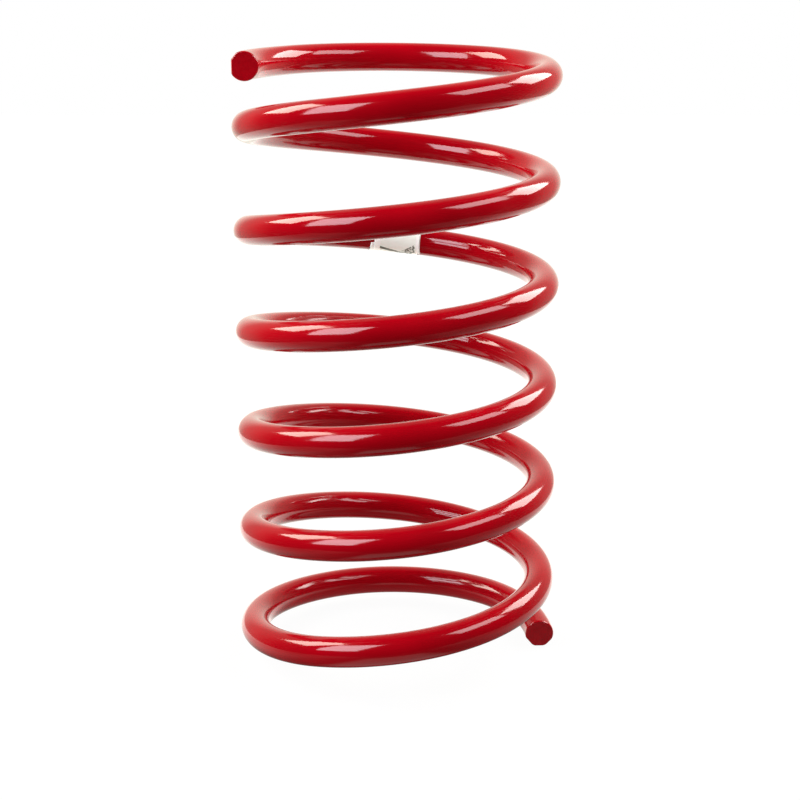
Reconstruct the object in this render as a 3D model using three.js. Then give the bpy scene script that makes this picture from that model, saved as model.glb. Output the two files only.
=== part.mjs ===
// Coil compression spring: one bar of round spring steel wound into a right-handed helix, with a
// nearly level turn at each end, and a label wrapped round one of the middle turns.
// Millimetres, +Z up. The coil's axis is Z, and the spring stands on z = 0.
//
// A place along the wire is given by the angle in degrees that the wire has turned since its lower
// cut end, which lies on +X. The bar gives by twisting along its whole length. It is divided into
// rigid sections, and each twists against the next about the wire's own centre line, so the wire
// stays whole and smooth while the spring closes.
import * as THREE from "three";

// Driving dimensions
const WIRE_DIAMETER = 13.5;
const MEAN_COIL_DIAMETER = 134;
const TOTAL_TURNS = 6.5;
const END_COIL_TURN = 315; // degrees of the wire in each rigid end coil
const SECTION_TURN = 90; // degrees of the wire in each section between them
const LABEL_WIDTH = 25; // along the wire
const LABEL_PLACE = 1530; // the label's middle, at the back of the third turn from the top

const ACTIVE_PITCH = 46.2; // rise per turn between the end coils
const LOWER_END_PITCH = 4; // the lower end turn is nearly level
const TIP_PITCH = 51; // but its cut end dips
const UPPER_TIP_PITCH = -22; // and so does the upper one
const END_FLARE = 1.3; // each cut end stands this much further out than the coil
const FLARE_TURN = 45; // degrees of the wire over which it opens out

// Clearances and thicknesses
const FACE_GAP = 0.3; // between neighbouring pieces
const LABEL_THICKNESS = 0.3;

// Facets
const SIDES_ROUND_WIRE = 16;
const DEGREES_PER_STEP = 11.25;

// Worked out from the above
const WIRE_RADIUS = WIRE_DIAMETER / 2;
const COIL_RADIUS = MEAN_COIL_DIAMETER / 2;
const WIRE_END = TOTAL_TURNS * 360;
const FIRST_CUT = END_COIL_TURN;
const LAST_CUT = WIRE_END - END_COIL_TURN;
const SECTION_COUNT = (LAST_CUT - FIRST_CUT) / SECTION_TURN;

// The rise per turn at a few places along the wire, with straight lines between them. It is gentle
// along the lower end, steepest where the wire takes off from it, even through the open coils, and
// turns down round the last quarter turn.
const PITCHES = [
  { place: 0, pitch: TIP_PITCH },
  { place: 50, pitch: LOWER_END_PITCH },
  { place: 120, pitch: LOWER_END_PITCH },
  { place: 195, pitch: 0.6 * ACTIVE_PITCH },
  { place: 240, pitch: 1.29 * ACTIVE_PITCH },
  { place: 300, pitch: 1.13 * ACTIVE_PITCH },
  { place: 420, pitch: ACTIVE_PITCH },
  { place: WIRE_END - 300, pitch: ACTIVE_PITCH },
  { place: WIRE_END - 210, pitch: 1.1 * ACTIVE_PITCH },
  { place: WIRE_END - 165, pitch: 0.96 * ACTIVE_PITCH },
  { place: WIRE_END - 40, pitch: UPPER_TIP_PITCH },
  { place: WIRE_END, pitch: UPPER_TIP_PITCH },
];

function pitchAt(place) {
  const next = PITCHES.findIndex((p, i) => i > 0 && place <= p.place);
  const [a, b] = [PITCHES[next - 1], PITCHES[next]];
  return THREE.MathUtils.mapLinear(place, a.place, b.place, a.pitch, b.pitch);
}

// Height of the wire's centre line: the rise per turn added up from the lower end.
function heightAt(place) {
  let height = WIRE_RADIUS;
  for (let i = 1; i < PITCHES.length && PITCHES[i - 1].place < place; i++) {
    const from = PITCHES[i - 1].place;
    const to = Math.min(place, PITCHES[i].place);
    const meanPitch = (pitchAt(to) + PITCHES[i - 1].pitch) / 2;
    height += (meanPitch * (to - from)) / 360;
  }
  return height;
}

// Distance of the centre line from the coil's axis, which grows towards each cut end.
function radiusAt(place) {
  const fromEnd = Math.min(place, WIRE_END - place);
  const share = Math.max(0, 1 - fromEnd / FLARE_TURN);
  return COIL_RADIUS + END_FLARE * share * share;
}

// The wire's centre line from one place to another.
class WirePath extends THREE.Curve {
  constructor(from, to) {
    super();
    this.from = from;
    this.to = to;
  }

  getPoint(t, target = new THREE.Vector3()) {
    const place = THREE.MathUtils.lerp(this.from, this.to, t);
    const angle = THREE.MathUtils.degToRad(place);
    const radius = radiusAt(place);
    return target.set(
      radius * Math.cos(angle),
      radius * Math.sin(angle),
      heightAt(place),
    );
  }
}

function roundSection(outerRadius, innerRadius = 0) {
  const section = new THREE.Shape();
  section.absarc(0, 0, outerRadius, 0, 2 * Math.PI);
  if (innerRadius > 0) {
    const hole = new THREE.Path();
    hole.absarc(0, 0, innerRadius, 0, 2 * Math.PI, true);
    section.holes.push(hole);
  }
  return section;
}

// A piece that follows the wire from one place to another.
function alongWire(name, section, from, to, material) {
  const geometry = new THREE.ExtrudeGeometry(section, {
    extrudePath: new WirePath(from, to),
    steps: Math.round((to - from) / DEGREES_PER_STEP),
    curveSegments: SIDES_ROUND_WIRE / 2, // three.js doubles this on a full circle
    bevelEnabled: false,
  });
  const piece = new THREE.Mesh(geometry, material);
  piece.name = name;
  return piece;
}

const redEnamel = () =>
  new THREE.MeshStandardMaterial({
    color: 0xb4081a,
    roughness: 0.2,
    metalness: 0,
  });

const whiteFilm = () =>
  new THREE.MeshStandardMaterial({
    color: 0xe9e8e3,
    roughness: 0.45,
    metalness: 0,
  });

const degreesAlong = (length) => THREE.MathUtils.radToDeg(length / COIL_RADIUS);

const group = new THREE.Group();
const wire = roundSection(WIRE_RADIUS);
const halfGap = degreesAlong(FACE_GAP / 2);

group.add(
  alongWire("lower_end_coil", wire, 0, FIRST_CUT - halfGap, redEnamel()),
);

for (let i = 0; i < SECTION_COUNT; i++) {
  const name = "coil_section_" + String(i + 1).padStart(2, "0");
  const from = FIRST_CUT + i * SECTION_TURN;
  const to = from + SECTION_TURN;
  group.add(alongWire(name, wire, from + halfGap, to - halfGap, redEnamel()));
}

group.add(
  alongWire("upper_end_coil", wire, LAST_CUT + halfGap, WIRE_END, redEnamel()),
);

const labelBore = WIRE_RADIUS + FACE_GAP;
const labelHalf = degreesAlong(LABEL_WIDTH / 2);
group.add(
  alongWire(
    "wrapped_label",
    roundSection(labelBore + LABEL_THICKNESS, labelBore),
    LABEL_PLACE - labelHalf,
    LABEL_PLACE + labelHalf,
    whiteFilm(),
  ),
);

export default group;
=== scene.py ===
import math

import bpy
import numpy as np
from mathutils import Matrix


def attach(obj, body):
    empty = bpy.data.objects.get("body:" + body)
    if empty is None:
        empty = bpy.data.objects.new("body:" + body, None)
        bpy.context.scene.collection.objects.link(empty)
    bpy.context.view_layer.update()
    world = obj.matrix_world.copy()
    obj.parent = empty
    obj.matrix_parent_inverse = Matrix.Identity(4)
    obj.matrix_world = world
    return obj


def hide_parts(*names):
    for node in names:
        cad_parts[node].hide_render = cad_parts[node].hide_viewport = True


# The looks of a red coil spring with a label wrapped round its wire. Metres, +Z up, the coil's axis
# on Z. A place along the wire is the angle in degrees that the wire has turned since its lower cut
# end, which lies on +X.

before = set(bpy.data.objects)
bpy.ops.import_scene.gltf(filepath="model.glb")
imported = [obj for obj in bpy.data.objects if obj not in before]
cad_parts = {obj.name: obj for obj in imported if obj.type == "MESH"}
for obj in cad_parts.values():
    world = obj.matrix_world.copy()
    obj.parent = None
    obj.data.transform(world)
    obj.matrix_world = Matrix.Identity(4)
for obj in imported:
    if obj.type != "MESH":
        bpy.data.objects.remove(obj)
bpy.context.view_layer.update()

# ---------------------------------------------------------------- driving dimensions

WIRE_RADIUS = 0.00675
COIL_RADIUS = 0.067
WIRE_END = 2340
END_COIL_TURN = 315
SECTION_TURN = 90
SECTION_COUNT = 19
ACTIVE_PITCH = 0.0462  # rise per turn between the end coils
LOWER_END_PITCH = 0.004  # the lower end turn is nearly level
TIP_PITCH = 0.051  # but its cut end dips
UPPER_TIP_PITCH = -0.022  # and so does the upper one
PITCHES = [  # place, rise per turn
    (0, TIP_PITCH),
    (50, LOWER_END_PITCH),
    (120, LOWER_END_PITCH),
    (195, 0.6 * ACTIVE_PITCH),
    (240, 1.29 * ACTIVE_PITCH),
    (300, 1.13 * ACTIVE_PITCH),
    (420, ACTIVE_PITCH),
    (WIRE_END - 300, ACTIVE_PITCH),
    (WIRE_END - 210, 1.1 * ACTIVE_PITCH),
    (WIRE_END - 165, 0.96 * ACTIVE_PITCH),
    (WIRE_END - 40, UPPER_TIP_PITCH),
    (WIRE_END, UPPER_TIP_PITCH),
]
END_FLARE = 0.0013  # each cut end stands this much further out than the coil
FLARE_TURN = 45  # degrees of the wire over which it opens out

SIDES = 48  # of the wire's section
STEP = 2.0  # degrees of the coil between rings
TANGENT_REACH = 0.01  # degrees either side of a place between which its direction is taken
RIM_LENGTH = 0.0012  # the cut ends are rolled over at the rim, this far along the wire
RIM_DEPTH = 0.0005  # and this far towards its middle
RIM_STEPS = 6
DENT_REACH = 0.005  # length of wire over which the shear's dents run out
DENT_PLACES = (0.0005, 0.001, 0.0015, 0.002, 0.003, 0.004, 0.005)  # extra rings there
LOWER_DENTS = [(0.75, 0.0003), (0.61, 0.0005), (0.88, 0.0003)]  # turn round the wire, depth
UPPER_DENTS = [(0.0, 0.0012), (0.11, 0.0005)]
CAP_DISH = 0.0001  # how far a hidden face is hollowed, so that two meet only at the rim
CAP_SHARES = (0.75, 0.5, 0.25)  # of the radius, where a cut face has rings

LABEL_PLACE = 1531
LABEL_WIDTH = 0.025
LABEL_BODY = "section_14"

# ---------------------------------------------------------------- the wire's centre line


def pitch_at(place):
    places, pitches = zip(*PITCHES)
    return float(np.interp(place, places, pitches))


def height_at(place):
    """Height of the centre line: the rise per turn added up from the lower end."""
    height = WIRE_RADIUS
    for (start, pitch), (stop, _) in zip(PITCHES, PITCHES[1:]):
        if start >= place:
            break
        to = min(place, stop)
        height += (pitch + pitch_at(to)) / 2 * (to - start) / 360
    return height


def radius_at(place):
    """Distance of the centre line from the coil's axis, which grows towards each cut end."""
    share = max(0.0, 1 - min(place, WIRE_END - place) / FLARE_TURN)
    return COIL_RADIUS + END_FLARE * share * share


def centre_at(place):
    angle = math.radians(place)
    radius = radius_at(place)
    return np.array([radius * math.cos(angle), radius * math.sin(angle), height_at(place)])


class Station:
    """A point of the centre line, with the directions out from the axis, across it and along it."""

    def __init__(self, place):
        self.centre = centre_at(place)
        before, after = max(0.0, place - TANGENT_REACH), min(float(WIRE_END), place + TANGENT_REACH)
        along = centre_at(after) - centre_at(before)
        self.along = along / np.linalg.norm(along)
        axis_side = np.array([math.cos(math.radians(place)), math.sin(math.radians(place)), 0.0])
        out = axis_side - axis_side.dot(self.along) * self.along
        self.out = out / np.linalg.norm(out)
        self.up = np.cross(self.out, self.along)

    def around(self, turn):
        """The direction from the centre line at a turn round the wire: 0 is outward, 0.25 is up."""
        return math.cos(turn * math.tau) * self.out + math.sin(turn * math.tau) * self.up


def degrees_along(length):
    """The turn of the coil, in degrees, that a length of the wire takes."""
    rise = ACTIVE_PITCH / math.tau
    return math.degrees(length / math.hypot(COIL_RADIUS, rise))


# ---------------------------------------------------------------- mesh making


class MeshMaker:
    """Collects points and faces, with a normal and a map coordinate for each corner."""

    def __init__(self):
        self.points = []
        self.faces = []
        self.normals = []
        self.maps = []
        self.materials = []

    def point(self, position):
        self.points.append(tuple(position))
        return len(self.points) - 1

    def face(self, corners, normals, maps, material=0):
        self.faces.append(corners)
        self.normals.extend(tuple(n) for n in normals)
        self.maps.extend(maps)
        self.materials.append(material)

    def finish(self, name, materials):
        mesh = bpy.data.meshes.new(name)
        mesh.from_pydata(self.points, [], self.faces)
        mesh.polygons.foreach_set("use_smooth", [True] * len(self.faces))
        mesh.polygons.foreach_set("material_index", self.materials)
        layer = mesh.uv_layers.new(name="along_and_round")
        layer.data.foreach_set("uv", [x for pair in self.maps for x in pair])
        mesh.normals_split_custom_set(self.normals)
        mesh.update()
        piece = bpy.data.objects.new(name, mesh)
        for material in materials:
            mesh.materials.append(material)
        bpy.context.scene.collection.objects.link(piece)
        return piece


class Ring:
    """One ring of the wire's surface. Its normals lean along the wire, and a shear's dents are flat."""

    def __init__(self, place, from_cut, dents, roll=0.0, side=0):
        self.station = Station(place)
        self.lean = side * math.atan2(RIM_DEPTH * math.sin(roll), RIM_LENGTH * math.cos(roll))
        rolled = RIM_DEPTH * (1 - math.cos(roll))
        self.radius = WIRE_RADIUS - rolled
        fade = max(0.0, 1 - from_cut / DENT_REACH)
        self.flats = [
            (self.station.around(turn), WIRE_RADIUS - rolled - depth * fade) for turn, depth in dents
        ]

    def spot(self, k):
        """The offset from the centre line and the normal, at one of the wire's sides."""
        out = self.station.around(k / SIDES)
        offset = self.radius * out
        for direction, limit in self.flats:
            excess = offset.dot(direction) - limit
            if excess > 0:
                offset = offset - excess * direction
                out = direction
        return offset, math.cos(self.lean) * out + math.sin(self.lean) * self.station.along


def rim_rings(place, dents, side):
    """The rings of a cut end's rolled rim, from the wire's side towards its face."""
    rings = []
    for k in range(1, RIM_STEPS + 1):
        roll = k / RIM_STEPS * math.pi / 2
        back = RIM_LENGTH * (1 - math.sin(roll))
        rings.append(Ring(place - side * degrees_along(back), back, dents, roll, side))
    return rings


def barrel_rings(start, stop, cut_start, cut_stop):
    """The rings between the ends, closer together near a cut end."""
    rim = degrees_along(RIM_LENGTH)
    first = start + (rim if cut_start else 0)
    last = stop - (rim if cut_stop else 0)
    steps = max(1, round((last - first) / STEP))
    places = [first + (last - first) * i / steps for i in range(steps + 1)]
    near = [degrees_along(d) for d in DENT_PLACES]
    if cut_start:
        places += [first + d for d in near]
    if cut_stop:
        places += [last - d for d in near]
    dents = cut_start or cut_stop or ()
    rings = []
    for place in sorted(places):
        turn_from_cut = place - start if cut_start else stop - place
        from_cut = math.radians(turn_from_cut) * COIL_RADIUS
        rings.append(Ring(place, from_cut, dents))
    return rings


def wire_piece(name, start, stop, materials, cut_start=None, cut_stop=None):
    """A closed length of wire. A cut end is given by its dents, and has a rolled rim."""
    maker = MeshMaker()
    rings = barrel_rings(start, stop, cut_start, cut_stop)
    if cut_start:
        rings = rim_rings(start, cut_start, -1)[::-1] + rings
    if cut_stop:
        rings = rings + rim_rings(stop, cut_stop, 1)

    indices = []
    for ring in rings:
        indices.append([maker.point(ring.station.centre + ring.spot(k)[0]) for k in range(SIDES)])
    gaps = [np.linalg.norm(b.station.centre - a.station.centre) for a, b in zip(rings, rings[1:])]
    run = np.concatenate([[0], np.cumsum(gaps)]) + math.radians(start) * COIL_RADIUS
    for i in range(len(rings) - 1):
        for k in range(SIDES):
            around = [k, k, k + 1, k + 1]
            which = [i, i + 1, i + 1, i]
            corners = [indices[w][a % SIDES] for w, a in zip(which, around)]
            normals = [rings[w].spot(a)[1] for w, a in zip(which, around)]
            maps = [(run[w], a / SIDES * math.tau * WIRE_RADIUS) for w, a in zip(which, around)]
            maker.face(corners, normals, maps)
    add_cap(maker, rings[0], indices[0], -1, cut_start)
    add_cap(maker, rings[-1], indices[-1], 1, cut_stop)
    return maker.finish(name, materials)


def add_cap(maker, ring, indices, side, cut):
    """Closes an end: a hidden face is a slightly hollow fan, and a cut face has rings to its middle."""
    centre = ring.station.centre
    normal = side * ring.station.along
    shares = CAP_SHARES if cut else ()
    depth = 0 if cut else CAP_DISH
    material = 1 if cut else 0
    outer, outer_share = indices, 1.0
    for share in shares:
        inner = [maker.point(centre + share * ring.spot(k)[0]) for k in range(SIDES)]
        for k in range(SIDES):
            corners = [outer[k], outer[(k + 1) % SIDES], inner[(k + 1) % SIDES], inner[k]]
            spots = [(outer_share, k), (outer_share, k + 1), (share, k + 1), (share, k)]
            add_cap_face(maker, corners, spots, normal, ring.radius, side, material)
        outer, outer_share = inner, share
    middle = maker.point(centre - depth * normal)
    for k in range(SIDES):
        corners = [outer[k], outer[(k + 1) % SIDES], middle]
        spots = [(outer_share, k), (outer_share, k + 1), (0, k)]
        add_cap_face(maker, corners, spots, normal, ring.radius, side, material)


def add_cap_face(maker, corners, spots, normal, radius, side, material):
    maps = [
        (s * radius * math.cos(k / SIDES * math.tau), s * radius * math.sin(k / SIDES * math.tau))
        for s, k in spots
    ]
    if side > 0:
        corners, maps = corners[::-1], maps[::-1]
    maker.face(corners, [normal] * len(corners), maps, material)


# ---------------------------------------------------------------- the label's film

FILM = 0.0001  # thickness
FILM_LIFT = 0.00003  # glue under it
FILM_SKEW = -0.0018  # how far along the wire one turn of the film climbs, because it is wrapped askew
FILM_END = 235  # degrees round the wire, from outward through up, where its outer end lies
FILM_OVERLAP = 35  # degrees of it that lie on its own start
FILM_TURN = 360 + FILM_OVERLAP
FILM_LEVEL = 180 + FILM_OVERLAP  # degrees wound where the skewed film is centred on its place
RAMP_START = 350  # degrees wound where the film begins to climb onto its own start
RAMP_TURN = 10
FILM_ROWS = 160
FILM_COLUMNS = 32


def film_point(wound, across, height):
    """A point of the film: degrees wound from its start, metres across its width, height in it."""
    ramp = min(1.0, max(0.0, (wound - RAMP_START) / RAMP_TURN))
    second_layer = (FILM + FILM_LIFT) * ramp * ramp * (3 - 2 * ramp)
    radius = WIRE_RADIUS + FILM_LIFT + second_layer + height
    climb = FILM_SKEW * (wound - FILM_LEVEL) / 360
    station = Station(LABEL_PLACE + degrees_along(across + climb))
    turn = (wound + FILM_END - FILM_TURN) / 360
    return station.centre + radius * station.around(turn), station.around(turn), station.along


def label_film(name, material):
    """A strip of film wound once round the wire and over its own start."""
    maker = MeshMaker()
    winds = [FILM_TURN * i / FILM_ROWS for i in range(FILM_ROWS + 1)]
    across = [LABEL_WIDTH * (j / FILM_COLUMNS - 0.5) for j in range(FILM_COLUMNS + 1)]
    layers = []
    for height, sign in ((FILM, 1), (0.0, -1)):
        rows = [[film_point(w, a, height) for a in across] for w in winds]
        layer = [[maker.point(p[0]) for p in row] for row in rows]
        layers.append(layer)
        for i in range(FILM_ROWS):
            for j in range(FILM_COLUMNS):
                spots = [(layer, i, j), (layer, i, j + 1), (layer, i + 1, j + 1), (layer, i + 1, j)]
                normals = [sign * rows[a][b][1] for _, a, b in spots]
                film_face(maker, spots[::sign], normals[::sign], winds, across)
    top, under = layers
    for i in range(FILM_ROWS):
        for j, sign in ((0, -1), (FILM_COLUMNS, 1)):
            normal = sign * film_point(winds[i], across[j], FILM)[2]
            spots = [(top, i, j), (top, i + 1, j), (under, i + 1, j), (under, i, j)]
            film_face(maker, spots[::sign], [normal] * 4, winds, across)
    for j in range(FILM_COLUMNS):
        for i, sign in ((0, -1), (FILM_ROWS, 1)):
            radial, along = film_point(winds[i], across[j], FILM)[1:]
            normal = sign * np.cross(radial, along)
            spots = [(top, i, j), (under, i, j), (under, i, j + 1), (top, i, j + 1)]
            film_face(maker, spots[::sign], [normal] * 4, winds, across)
    return maker.finish(name, [material])


def film_face(maker, spots, normals, winds, across):
    """One face, mapped in metres: across from the film's left edge, and along its winding."""
    corners = [layer[i][j] for layer, i, j in spots]
    maps = [(LABEL_WIDTH / 2 - across[j], math.radians(winds[i]) * WIRE_RADIUS) for _, i, j in spots]
    maker.face(corners, normals, maps)


# ---------------------------------------------------------------- node helpers

PRINT_SOFTNESS = 0.0001  # half the width of a printed edge's blur


class Nodes:
    """Short names for building a node tree."""

    def __init__(self, tree):
        self.tree = tree

    def node(self, kind, **settings):
        made = self.tree.nodes.new(kind)
        for key, value in settings.items():
            setattr(made, key, value)
        return made

    def feed(self, socket, value):
        if isinstance(value, bpy.types.NodeSocket):
            self.tree.links.new(value, socket)
        else:
            socket.default_value = value

    def noise(self, where, scale, detail=2.0, roughness=0.5):
        made = self.node("ShaderNodeTexNoise")
        self.feed(made.inputs["Vector"], where)
        made.inputs["Scale"].default_value = scale
        made.inputs["Detail"].default_value = detail
        made.inputs["Roughness"].default_value = roughness
        return made.outputs["Fac"]

    def cells(self, where, scale, output="Distance"):
        made = self.node("ShaderNodeTexVoronoi")
        self.feed(made.inputs["Vector"], where)
        made.inputs["Scale"].default_value = scale
        return made.outputs[output]

    def math(self, operation, a, b=0.0):
        made = self.node("ShaderNodeMath", operation=operation)
        self.feed(made.inputs[0], a)
        self.feed(made.inputs[1], b)
        return made.outputs[0]

    def add(self, a, b):
        return self.math("ADD", a, b)

    def times(self, a, b):
        return self.math("MULTIPLY", a, b)

    def step(self, value, low, high, out_low=0.0, out_high=1.0):
        """A smooth step of value from low to high."""
        made = self.node("ShaderNodeMapRange", interpolation_type="SMOOTHSTEP")
        self.feed(made.inputs["Value"], value)
        made.inputs["From Min"].default_value = low
        made.inputs["From Max"].default_value = high
        made.inputs["To Min"].default_value = out_low
        made.inputs["To Max"].default_value = out_high
        return made.outputs["Result"]

    def band(self, value, low, high, soft=PRINT_SOFTNESS):
        """1 between low and high, with soft edges."""
        rise = self.step(value, low - soft, low + soft)
        fall = self.step(value, high + soft, high - soft)
        return self.times(rise, fall)

    def mix(self, share, a, b):
        made = self.node("ShaderNodeMix", data_type="RGBA")
        self.feed(made.inputs["Factor"], share)
        self.feed(made.inputs[6], a)
        self.feed(made.inputs[7], b)
        return made.outputs[2]

    def split(self, vector):
        made = self.node("ShaderNodeSeparateXYZ")
        self.feed(made.inputs[0], vector)
        return made.outputs

    def bump(self, height, distance, after=None):
        made = self.node("ShaderNodeBump")
        made.inputs["Strength"].default_value = 1.0
        made.inputs["Distance"].default_value = distance
        self.feed(made.inputs["Height"], height)
        if after is not None:
            self.feed(made.inputs["Normal"], after)
        return made.outputs["Normal"]


class Shader(Nodes):
    """A material with its shader and the two sets of coordinates that its nodes use."""

    def __init__(self, name):
        self.material = bpy.data.materials.new(name)
        self.material.use_nodes = True
        super().__init__(self.material.node_tree)
        self.surface = self.tree.nodes["Principled BSDF"]
        self.place = self.node("ShaderNodeTexCoord").outputs["Object"]
        self.map = self.node("ShaderNodeUVMap", uv_map="along_and_round").outputs["UV"]

    def set(self, **values):
        for key, value in values.items():
            self.feed(self.surface.inputs[key.replace("_", " ")], value)


# ---------------------------------------------------------------- enamel

RED = (0.335, 0.0006, 0.0055, 1)
DEEP_RED = (0.290, 0.0004, 0.0045, 1)
PRIMER = (0.02, 0.014, 0.013, 1)
ENAMEL_IOR = 1.5
MIDDLE_OF_NOISE = (0.3, 0.7)  # the range that most of a noise lies in

# Scales are in features per metre, heights and distances in metres, the rest are shares
FLOW_SCALE = 28  # drifts of colour
GLOSS_SCALE = 60  # patches that are glossier or duller
PEEL_SCALE = 300
PEEL_HEIGHT = 0.00002
FINE_PEEL_SCALE = 1300
FINE_PEEL_HEIGHT = 0.000008
ENAMEL_ROUGHNESS = (0.07, 0.13)

SPOT_CELL_SCALE = 95  # a few of these cells hold a chip or a nib at their middle
SPOT_REACH = (0.055, 0.04)  # outer and inner edge of a spot, as shares of a cell
RAGGED_SCALE = 2500
RAGGED_SHARE = 0.03
CHIP_ODDS = (0.975, 0.98)  # a cell whose random number is above these has a chip
NIB_ODDS = (0.93, 0.94)
SPOT_HEIGHT = 0.00004
CHIP_ROUGHNESS = 0.4

CUT_MOTTLE_SCALE = 350
CUT_MOTTLE_HEIGHT = 0.00004
CUT_GRAIN_SCALE = 1500
CUT_GRAIN_HEIGHT = 0.00001
CUT_ROUGHNESS = (0.14, 0.24)


def red_enamel():
    """Sprayed and stoved enamel: glossy, with orange peel, dust nibs and a few tiny chips."""
    s = Shader("red_enamel")
    flow = s.noise(s.place, FLOW_SCALE, detail=3)
    peel = s.noise(s.place, PEEL_SCALE, detail=1.5, roughness=0.45)
    fine_peel = s.noise(s.place, FINE_PEEL_SCALE, detail=1)
    colour = s.mix(s.step(flow, *MIDDLE_OF_NOISE), RED, DEEP_RED)

    random_numbers = s.split(s.cells(s.place, SPOT_CELL_SCALE, "Color"))
    ragged = s.times(s.noise(s.place, RAGGED_SCALE), RAGGED_SHARE)
    spot = s.step(s.add(s.cells(s.place, SPOT_CELL_SCALE), ragged), *SPOT_REACH)
    chip = s.times(spot, s.step(random_numbers[0], *CHIP_ODDS))
    nib = s.times(spot, s.step(random_numbers[1], *NIB_ODDS))

    gloss = s.step(s.noise(s.place, GLOSS_SCALE, detail=4), *MIDDLE_OF_NOISE, *ENAMEL_ROUGHNESS)
    roughness = s.add(gloss, s.times(chip, CHIP_ROUGHNESS))
    normal = s.bump(peel, PEEL_HEIGHT)
    normal = s.bump(fine_peel, FINE_PEEL_HEIGHT, normal)
    normal = s.bump(s.math("SUBTRACT", nib, chip), SPOT_HEIGHT, normal)
    s.set(Base_Color=s.mix(chip, colour, PRIMER), Roughness=roughness, Normal=normal, IOR=ENAMEL_IOR)
    return s.material


def painted_cut():
    """The sheared face of the wire under thinner paint: duller and mottled."""
    s = Shader("painted_cut")
    mottle = s.noise(s.place, CUT_MOTTLE_SCALE, detail=4)
    grain = s.noise(s.place, CUT_GRAIN_SCALE, detail=3)
    colour = s.mix(s.step(mottle, *MIDDLE_OF_NOISE), DEEP_RED, RED)
    roughness = s.step(grain, *MIDDLE_OF_NOISE, *CUT_ROUGHNESS)
    normal = s.bump(mottle, CUT_MOTTLE_HEIGHT)
    normal = s.bump(grain, CUT_GRAIN_HEIGHT, normal)
    s.set(Base_Color=colour, Roughness=roughness, Normal=normal, IOR=ENAMEL_IOR)
    return s.material


# ---------------------------------------------------------------- the film's print

LIGHT_PAPER = (0.90, 0.94, 0.90, 1)
DULL_PAPER = (0.84, 0.89, 0.84, 1)
PANEL_COLOUR = (0.72, 0.80, 0.71, 1)
INK_COLOUR = (0.06, 0.075, 0.05, 1)
PANEL_SHARE = 0.6  # how much of its colour the panel takes
INK_SHARE = 0.9
LINE_SHARE = 0.7
FILM_PAINTED_GLOW = 0.2  # painted light: a glow that brightens the film as if it were lit more, as a share of its colour
FILM_IOR = 1.45
FILM_ROUGHNESS = (0.3, 0.42)

# Metres across the film from its left edge, or along its winding from its start
OUTER_END = math.radians(FILM_TURN) * WIRE_RADIUS
INNER_END = math.radians(FILM_OVERLAP) * WIRE_RADIUS  # where the second layer stops hiding the first
PANEL_SIDES = (0.0033, 0.0229)
PANEL_START = (0.0125, 0.0127)
PANEL_AT_FILM_START = (-0.001, 0.0056)
RULE_SIDES = (0.0034, 0.0150)
RULE_SLOPE = 0.234  # how the rule slants across the film
RULE_START = 0.0026  # before each end
RULE_WIDTH = 0.0017
BLOCK_SIDES = (0.0145, 0.0222)
BLOCK_SOFTNESS = 0.0003
BLOCK_HEIGHT = 0.0032  # on the first layer
WEDGE_SLOPE = 0.62  # the block's slanting edge on the second layer
WEDGE_FOOT = 0.0135  # where that edge would meet the film's end
WEDGE_SOFTNESS = 0.0002
LINE_STARTS = (0.0150, 0.0172, 0.0194, 0.0228)  # plain lines on the side away from the coil's axis
LINE_WIDTH = 0.0006
LINE_SIDES = (0.0045, 0.0195)

PAPER_SCALE = 260
PAPER_RANGE = (0.35, 0.7)
SMUDGE_SCALE = 900
SMUDGE_RANGE = (0.40, 0.52)
GLOSS_BLOTCH_SCALE = 1500
WRINKLE_SCALE = 180
WRINKLE_HEIGHT = 0.0003


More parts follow.
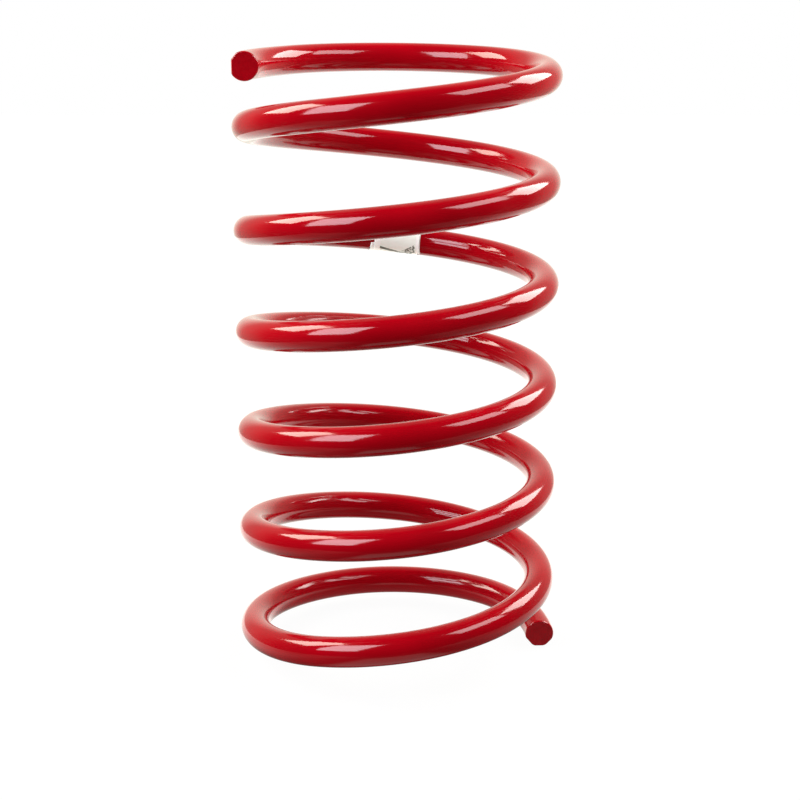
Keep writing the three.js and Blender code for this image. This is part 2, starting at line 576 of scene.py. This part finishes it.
def printed_film():
    """White film with a pale panel, a slanting rule, a mottled block and plain lines, and a painted
    glow that brightens it. No lettering.
    """
    s = Shader("printed_film")
    across, along = s.split(s.map)[0:2]

    panel = s.times(s.band(across, *PANEL_SIDES), s.step(along, *PANEL_START))
    panel_start = s.times(s.band(across, *PANEL_SIDES), s.band(along, *PANEL_AT_FILM_START))
    panel = s.math("MAXIMUM", panel, panel_start)

    # The rule and the block both run over the film's end, so each shows on both layers
    rise = s.times(s.math("SUBTRACT", across, PANEL_SIDES[0]), RULE_SLOPE)
    slant = s.math("SUBTRACT", along, rise)
    on_layers = [
        s.band(slant, end - RULE_START, end - RULE_START + RULE_WIDTH) for end in (OUTER_END, INNER_END)
    ]
    rule = s.times(s.math("MAXIMUM", *on_layers), s.band(across, *RULE_SIDES))

    fall = s.times(s.math("SUBTRACT", across, WEDGE_FOOT), WEDGE_SLOPE)
    wedge = s.step(s.add(along, fall), OUTER_END - WEDGE_SOFTNESS, OUTER_END + WEDGE_SOFTNESS)
    block = s.math("MAXIMUM", wedge, s.band(along, INNER_END, INNER_END + BLOCK_HEIGHT))
    block = s.times(block, s.band(across, *BLOCK_SIDES, BLOCK_SOFTNESS))
    smudge = s.times(block, s.step(s.noise(s.map, SMUDGE_SCALE), *SMUDGE_RANGE))

    ink = s.math("MAXIMUM", s.times(rule, INK_SHARE), s.times(smudge, INK_SHARE))
    for start in LINE_STARTS:
        line = s.times(s.band(along, start, start + LINE_WIDTH), s.band(across, *LINE_SIDES))
        ink = s.math("MAXIMUM", ink, s.times(line, LINE_SHARE))

    dullness = s.step(s.noise(s.map, PAPER_SCALE, detail=4), *PAPER_RANGE)
    paper = s.mix(dullness, LIGHT_PAPER, DULL_PAPER)
    tint = s.mix(s.times(panel, PANEL_SHARE), paper, PANEL_COLOUR)
    colour = s.mix(ink, tint, INK_COLOUR)
    blotch = s.noise(s.map, GLOSS_BLOTCH_SCALE, detail=3, roughness=0.6)
    s.set(
        Base_Color=colour,
        Roughness=s.step(blotch, *MIDDLE_OF_NOISE, *FILM_ROUGHNESS),
        Normal=s.bump(s.noise(s.map, WRINKLE_SCALE), WRINKLE_HEIGHT),
        IOR=FILM_IOR,
        # Painted light: the film glows in its own colour, so that it looks brighter lit than the lamps
        # make it
        Emission_Color=colour,
        Emission_Strength=FILM_PAINTED_GLOW,
    )
    return s.material


# ---------------------------------------------------------------- the pieces


def add_wire():
    enamel = red_enamel()
    cut = painted_cut()
    upper_start = WIRE_END - END_COIL_TURN
    lower = wire_piece("lower_end_wire", 0, END_COIL_TURN, [enamel, cut], cut_start=LOWER_DENTS)
    place_piece(lower, "lower_end", "lower_end_coil")
    for i in range(SECTION_COUNT):
        number = f"{i + 1:02d}"
        start = END_COIL_TURN + i * SECTION_TURN
        section = wire_piece(f"wire_{number}", start, start + SECTION_TURN, [enamel])
        place_piece(section, f"section_{number}", f"coil_section_{number}")
    upper = wire_piece("upper_end_wire", upper_start, WIRE_END, [enamel, cut], cut_stop=UPPER_DENTS)
    place_piece(upper, "upper_end", "upper_end_coil")


def place_piece(piece, body, node):
    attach(piece, body)
    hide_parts(node)


# ---------------------------------------------------------------- studio

CAMERA_DISTANCE = 0.7267  # from the coil's axis
CAMERA_HEIGHT = 0.28196
CAMERA_TURN = 0.77  # degrees towards +X from straight in front
CAMERA_TILT = 11.5  # degrees down
CAMERA_LENS = 72.14  # millimetres
CAMERA_SENSOR = 36
CAMERA_SHIFT = (0.0042, -0.0345)

LIGHT_DISTANCE = 1.1
LIGHT_AIM = (0, 0, 0.15)
SOFTBOXES = [  # name, azimuth from the front towards +X, elevation, width, height, brightness, colour
    ("softbox_left_side", -100, 42.5, 0.53, 0.54, 11.0, (1.0, 0.96, 0.84)),
    ("softbox_left_front", -49, 33, 0.64, 0.75, 8.3, (0.95, 0.93, 1.0)),
    ("softbox_right_front", 65, 46.5, 0.70, 0.45, 6.6, (0.97, 0.92, 0.94)),
    ("softbox_right_side", 119, 38, 0.62, 0.52, 10.0, (1.0, 0.98, 0.935)),
]

FLOOR_HALF_WIDTH = 6
FLOOR_HEIGHT = -0.0002  # just under the spring
FLOOR_COLOUR = (0.03, 0.03, 0.03, 1)  # dark: its own glow makes the floor white

CARD_FRONT = -0.27
CARD_HEIGHT = -0.05
CARD_BACK = 1.5
CARD_HALF_WIDTH = 0.43
CARD_COLOUR = (1.0, 1.0, 0.93, 1)
CARD_FOR_DIFFUSE = 0.55  # more glow where it lights the paint's own colour than in a reflection

# Each glow is a smooth step: where it starts, where it ends, the brightness before, and after
FLOOR_GLOW = (0.15, 1.0, 0.955, 1.0)  # by the distance from the coil's axis
CARD_RISE = (-0.16, 0.3, 0.03, 1.55)  # by y: dark in front, bright behind
CARD_SHADE = (0.07, 0.18, 0.25, 1.0)  # by the distance from the axis: dim right under the coil
CARD_SIDES = (0.004, 0.03, 0.0, 0.2)  # by x squared
STRIP_FRONT = (-0.19, -0.14, 0.0, 1.0)  # by y: a strip under the front of the coil lights its underside
STRIP_BACK = (-0.03, -0.06, 0.0, 0.5)
STRIP_SIDES = (0.0036, 0.0012, 0.0, 1.0)  # by x squared

# The room's steps are by how far a direction points backward, sideways or upward, from -1 to 1
WALL_EDGE = (0.1, 0.75, 0.0, 0.4)  # by backward
WALL_MIDDLE = (0.75, 1.0, 0.0, 0.66)
ROOM_DARK = 0.012
ROOM_COLOUR = (1.0, 1.0, 0.87, 1)

# The rest of the room lights only the paint's own colour, and reflections don't see it
FILL_SIDES = (0.2, 0.8, 0.0, 1.6)  # by sideways squared
FILL_RIGHT = (0.4, 0.9, 0.0, 0.9)  # by sideways
FILL_SIDES_DEPTH = (-0.35, 0.2, 0.0, 1.0)  # by backward: none in front
FILL_BELOW = (0.1, 0.7, 0.0, 3.0)  # by downward
FILL_BELOW_DEPTH = (-0.9, 0.3, 0.0, 1.0)
LOW_SIDES = (0.2, 0.8, 0.0, 0.4)  # by sideways squared
LOW_RIGHT = (0.3, 0.9, 0.0, 0.2)
LOW_HEIGHT = (0.3, -0.1, 0.0, 1.0)  # by upward: none above
FILL_BACK = (-0.1, 0.5, 0.0, 0.7)  # by backward
FILL_ABOVE = (0.3, 0.9, 0.0, 0.2)  # by upward


def add_camera():
    camera = bpy.data.objects.new("camera", bpy.data.cameras.new("camera"))
    turn = math.radians(CAMERA_TURN)
    camera.location = (
        CAMERA_DISTANCE * math.sin(turn),
        -CAMERA_DISTANCE * math.cos(turn),
        CAMERA_HEIGHT,
    )
    camera.rotation_euler = (math.radians(90 - CAMERA_TILT), 0, turn)
    camera.data.lens = CAMERA_LENS
    camera.data.sensor_width = CAMERA_SENSOR
    camera.data.shift_x, camera.data.shift_y = CAMERA_SHIFT
    bpy.context.scene.collection.objects.link(camera)
    bpy.context.scene.camera = camera


def add_softboxes():
    aim = np.array(LIGHT_AIM)
    for name, azimuth, elevation, width, height, brightness, colour in SOFTBOXES:
        a, e = math.radians(azimuth), math.radians(elevation)
        towards = np.array([math.sin(a) * math.cos(e), -math.cos(a) * math.cos(e), math.sin(e)])
        light = bpy.data.lights.new(name, "AREA")
        light.shape = "RECTANGLE"
        light.size, light.size_y = width, height
        light.color = colour
        light.energy = brightness * math.pi * width * height
        lamp = bpy.data.objects.new(name, light)
        lamp.location = aim + LIGHT_DISTANCE * towards
        lamp.rotation_euler = (math.radians(90 - elevation), 0, math.radians(azimuth))
        lamp.visible_camera = False
        bpy.context.scene.collection.objects.link(lamp)


def flat_sheet(name, x, y, z, material):
    mesh = bpy.data.meshes.new(name)
    corners = [(x[0], y[0], z), (x[1], y[0], z), (x[1], y[1], z), (x[0], y[1], z)]
    mesh.from_pydata(corners, [], [(0, 1, 2, 3)])
    mesh.materials.append(material)
    sheet = bpy.data.objects.new(name, mesh)
    bpy.context.scene.collection.objects.link(sheet)
    return sheet


def distance_from_axis(shader, x, y):
    return shader.math("SQRT", shader.add(shader.times(x, x), shader.times(y, y)))


def add_floor():
    """The white floor, which only the camera sees."""
    white = Shader("floor_white")
    x, y = white.split(white.place)[0:2]
    white.set(
        Base_Color=FLOOR_COLOUR,
        Roughness=1.0,
        Emission_Color=(1, 1, 1, 1),
        Emission_Strength=white.step(distance_from_axis(white, x, y), *FLOOR_GLOW),
        Specular_IOR_Level=0.0,
    )
    reach = (-FLOOR_HALF_WIDTH, FLOOR_HALF_WIDTH)
    floor = flat_sheet("floor", reach, reach, FLOOR_HEIGHT, white.material)
    floor.visible_glossy = False
    floor.visible_diffuse = False
    floor.visible_shadow = False


def add_card():
    """A lit card in the floor's place, which the camera doesn't see."""
    glow = Shader("card_glow")
    x, y = glow.split(glow.place)[0:2]
    x_squared = glow.times(x, x)
    shade = glow.step(distance_from_axis(glow, x, y), *CARD_SHADE)
    strength = glow.times(glow.step(y, *CARD_RISE), shade)
    strength = glow.add(strength, glow.step(x_squared, *CARD_SIDES))
    strip = glow.times(glow.step(y, *STRIP_FRONT), glow.step(y, *STRIP_BACK))
    strip = glow.times(strip, glow.step(x_squared, *STRIP_SIDES))
    strength = glow.add(strength, strip)
    diffuse_ray = glow.node("ShaderNodeLightPath").outputs["Is Diffuse Ray"]
    strength = glow.add(strength, glow.times(diffuse_ray, CARD_FOR_DIFFUSE))
    glow.set(
        Base_Color=(0, 0, 0, 1),
        Specular_IOR_Level=0.0,
        Emission_Color=CARD_COLOUR,
        Emission_Strength=strength,
    )
    width = (-CARD_HALF_WIDTH, CARD_HALF_WIDTH)
    card = flat_sheet("card", width, (CARD_FRONT, CARD_BACK), CARD_HEIGHT, glow.material)
    card.visible_camera = False
    card.visible_shadow = False


def add_world():
    """White behind the object for the camera; for reflections, a dark room with a bright back wall."""
    world = bpy.data.worlds.new("studio")
    bpy.context.scene.world = world
    world.use_nodes = True
    world.node_tree.nodes.clear()
    room = Nodes(world.node_tree)

    sideways, backward, upward = room.split(room.node("ShaderNodeTexCoord").outputs["Generated"])
    outward = room.times(sideways, sideways)
    downward = room.times(upward, -1.0)
    path = room.node("ShaderNodeLightPath")
    wall = room.add(room.step(backward, *WALL_EDGE), room.step(backward, *WALL_MIDDLE))

    sides = room.add(room.step(outward, *FILL_SIDES), room.step(sideways, *FILL_RIGHT))
    sides = room.times(sides, room.step(backward, *FILL_SIDES_DEPTH))
    below = room.times(room.step(downward, *FILL_BELOW), room.step(backward, *FILL_BELOW_DEPTH))
    low_sides = room.add(room.step(outward, *LOW_SIDES), room.step(sideways, *LOW_RIGHT))
    low_sides = room.times(low_sides, room.step(upward, *LOW_HEIGHT))
    back = room.step(backward, *FILL_BACK)
    above = room.step(upward, *FILL_ABOVE)
    fill = sides
    for part in (below, low_sides, back, above):
        fill = room.add(fill, part)
    fill = room.times(fill, path.outputs["Is Diffuse Ray"])

    seen = room.node("ShaderNodeBackground")
    seen.inputs["Color"].default_value = ROOM_COLOUR
    room.feed(seen.inputs["Strength"], room.add(room.add(wall, fill), ROOM_DARK))
    backdrop = room.node("ShaderNodeBackground")
    backdrop.inputs["Strength"].default_value = 1.0
    backdrop.inputs["Color"].default_value = (1, 1, 1, 1)
    choose = room.node("ShaderNodeMixShader")
    room.feed(choose.inputs["Fac"], path.outputs["Is Camera Ray"])
    room.feed(choose.inputs[1], seen.outputs[0])
    room.feed(choose.inputs[2], backdrop.outputs[0])
    room.feed(room.node("ShaderNodeOutputWorld").inputs["Surface"], choose.outputs[0])


bpy.context.scene.view_settings.view_transform = "Standard"
add_camera()
add_softboxes()
add_world()
add_floor()
add_card()
add_wire()
film = label_film("label_film", printed_film())
place_piece(film, LABEL_BODY, "wrapped_label")
